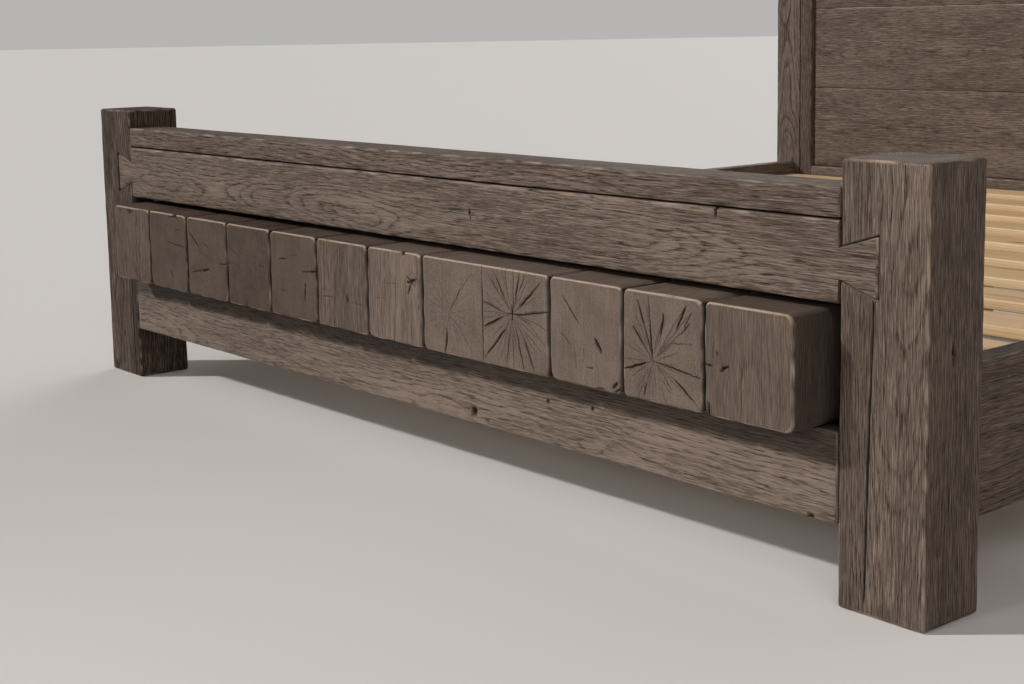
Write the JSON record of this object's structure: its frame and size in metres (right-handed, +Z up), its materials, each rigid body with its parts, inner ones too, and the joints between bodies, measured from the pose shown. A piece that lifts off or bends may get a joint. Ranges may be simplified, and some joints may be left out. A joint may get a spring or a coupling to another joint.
{
  "type": "wooden bed frame",
  "caption": "Timber bed frame: square posts, a footboard with dovetailed plank and a row of protruding timber ends, headboard, side rails, slats and centre support.",
  "frame": {"origin": "on the floor, at the middle of the frame's length and width", "axes": "+X across the bed to the right of someone looking from the foot to the head, +Y from foot to head along the bed, +Z up"},
  "size_m": [2.1, 2.329, 1.38],
  "materials": {
    "footboard_oak": "matt weathered grey-brown stain over wire-brushed oak",
    "timber_end_oak": "matt stained end grain with drying checks",
    "headboard_oak": "matt weathered grey-brown stain over wire-brushed oak",
    "side_rail_oak": "matt weathered grey-brown stain over wire-brushed oak",
    "softwood": "planed and left bare",
    "slat_softwood": "planed and left bare",
    "zinc_screws": "zinc plated",
    "bracket_steel": "black powder coat",
    "foot_steel": "zinc plated steel stem on a round pad"
  },
  "bodies": {
    "frame": {"block_screws": "zinc_screws", "bracket_screws": "zinc_screws", "centre_leg_foot": "softwood", "centre_leg_head": "softwood", "centre_leg_middle": "softwood", "centre_rail": "softwood", "centre_rail_brackets": "bracket_steel", "cleat_screws": "zinc_screws", "footboard_backing_board": "footboard_oak", "footboard_bottom_rail": "footboard_oak", "footboard_cap_rail": "footboard_oak", "footboard_dovetail_plank": "footboard_oak", "footboard_post_left": "footboard_oak", "footboard_post_right": "footboard_oak", "headboard_bottom_rail": "headboard_oak", "headboard_cap_rail": "headboard_oak", "headboard_dovetail_plank": "headboard_oak", "headboard_panel_board_1": "headboard_oak", "headboard_panel_board_2": "headboard_oak", "headboard_panel_board_3": "headboard_oak", "headboard_panel_board_4": "headboard_oak", "headboard_post_left": "headboard_oak", "headboard_post_right": "headboard_oak", "leg_hanger_bolts": "zinc_screws", "leg_threaded_inserts": "zinc_screws", "plate_screws": "zinc_screws", "post_catch_plates": "bracket_steel", "rail_hook_plates": "bracket_steel", "side_rail_left": "side_rail_oak", "side_rail_right": "side_rail_oak", "slat_01": "slat_softwood", "slat_02": "slat_softwood", "slat_03": "slat_softwood", "slat_04": "slat_softwood", "slat_05": "slat_softwood", "slat_06": "slat_softwood", "slat_07": "slat_softwood", "slat_08": "slat_softwood", "slat_09": "slat_softwood", "slat_10": "slat_softwood", "slat_11": "slat_softwood", "slat_cleat_left": "softwood", "slat_cleat_right": "softwood", "slat_screws": "zinc_screws", "timber_block_01": "timber_end_oak", "timber_block_02": "timber_end_oak", "timber_block_03": "timber_end_oak", "timber_block_04": "timber_end_oak", "timber_block_05": "timber_end_oak", "timber_block_06": "timber_end_oak", "timber_block_07": "timber_end_oak", "timber_block_08": "timber_end_oak", "timber_block_09": "timber_end_oak", "timber_block_10": "timber_end_oak", "timber_block_11": "timber_end_oak", "timber_block_12": "timber_end_oak"},
    "foot_foot": {"levelling_foot_foot": "foot_steel"},
    "foot_middle": {"levelling_foot_middle": "foot_steel"},
    "foot_head": {"levelling_foot_head": "foot_steel"}
  },
  "joints": [
    {"name": "foot_foot_screw", "type": "slide", "parent": "frame", "child": "foot_foot", "axis": [0, 0, -1], "range_m": [0, 0.02]},
    {"name": "foot_middle_screw", "type": "slide", "parent": "frame", "child": "foot_middle", "axis": [0, 0, -1], "range_m": [0, 0.02]},
    {"name": "foot_head_screw", "type": "slide", "parent": "frame", "child": "foot_head", "axis": [0, 0, -1], "range_m": [0, 0.02]}
  ]
}
